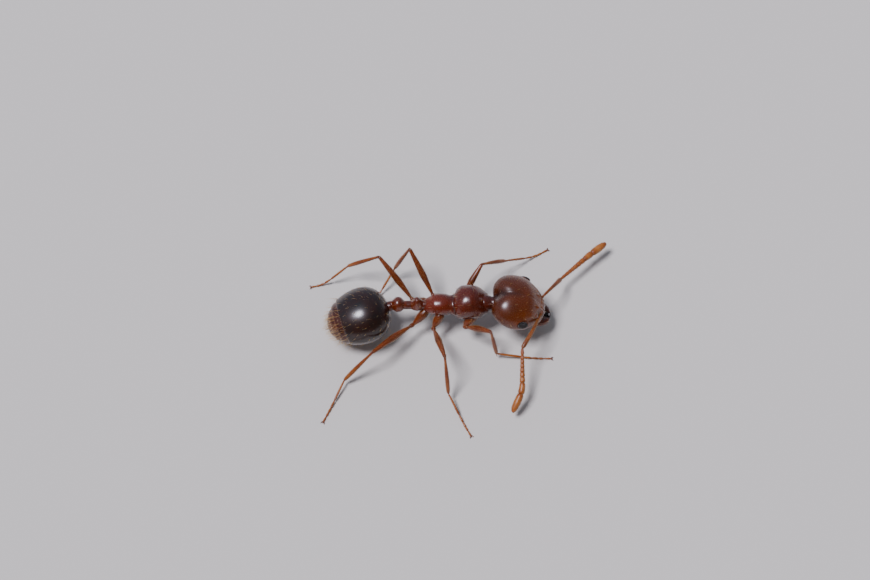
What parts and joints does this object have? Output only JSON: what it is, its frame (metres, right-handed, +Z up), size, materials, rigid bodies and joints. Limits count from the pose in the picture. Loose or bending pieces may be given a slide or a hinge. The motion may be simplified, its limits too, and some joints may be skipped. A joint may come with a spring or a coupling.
{
  "type": "fire ant",
  "caption": "Still life-size fire ant, a big-headed major worker standing on all legs with its feelers forward, as in a museum case.",
  "frame": {"origin": "middle of the footprint, on the floor that the six feet stand on", "axes": "+X the way the ant faces, +Y to its left, +Z up"},
  "size_m": [0.0076, 0.0056, 0.0017],
  "materials": {
    "head_cuticle": "mahogany red-brown insect shell, glossy",
    "trunk_cuticle": "mahogany red-brown insect shell, glossy",
    "waist_cuticle": "red-brown insect shell, glossy",
    "gaster_cuticle": "near-black insect shell, polished, amber at its rear edges",
    "leg_cuticle": "amber-brown insect shell, satin, under fine golden hairs",
    "feeler_cuticle": "amber-brown insect shell, satin, with a fine down",
    "jaw_cuticle": "red-brown insect shell, dark at the teeth",
    "eye": "black faceted eye, glossy"
  },
  "bodies": {
    "root": {"head": "head_cuticle", "eye_left": "eye", "mandible_left": "jaw_cuticle", "antenna_left_scape": "feeler_cuticle", "antenna_left_funiculus": "feeler_cuticle", "antenna_left_club": "feeler_cuticle", "eye_right": "eye", "mandible_right": "jaw_cuticle", "antenna_right_scape": "feeler_cuticle", "antenna_right_funiculus": "feeler_cuticle", "antenna_right_club": "feeler_cuticle", "pronotum": "trunk_cuticle", "mesothorax": "trunk_cuticle", "propodeum": "trunk_cuticle", "petiole": "waist_cuticle", "postpetiole": "waist_cuticle", "gaster_ring_1": "gaster_cuticle", "gaster_ring_2": "gaster_cuticle", "gaster_ring_3": "gaster_cuticle", "gaster_ring_4": "gaster_cuticle", "leg_front_left_coxa": "leg_cuticle", "leg_front_left_femur": "leg_cuticle", "leg_front_left_tibia": "leg_cuticle", "leg_front_left_tarsus": "leg_cuticle", "leg_front_right_coxa": "leg_cuticle", "leg_front_right_femur": "leg_cuticle", "leg_front_right_tibia": "leg_cuticle", "leg_front_right_tarsus": "leg_cuticle", "leg_mid_left_coxa": "leg_cuticle", "leg_mid_left_femur": "leg_cuticle", "leg_mid_left_tibia": "leg_cuticle", "leg_mid_left_tarsus": "leg_cuticle", "leg_mid_right_coxa": "leg_cuticle", "leg_mid_right_femur": "leg_cuticle", "leg_mid_right_tibia": "leg_cuticle", "leg_mid_right_tarsus": "leg_cuticle", "leg_hind_left_coxa": "leg_cuticle", "leg_hind_left_femur": "leg_cuticle", "leg_hind_left_tibia": "leg_cuticle", "leg_hind_left_tarsus": "leg_cuticle", "leg_hind_right_coxa": "leg_cuticle", "leg_hind_right_femur": "leg_cuticle", "leg_hind_right_tibia": "leg_cuticle", "leg_hind_right_tarsus": "leg_cuticle"}
  },
  "joints": []
}
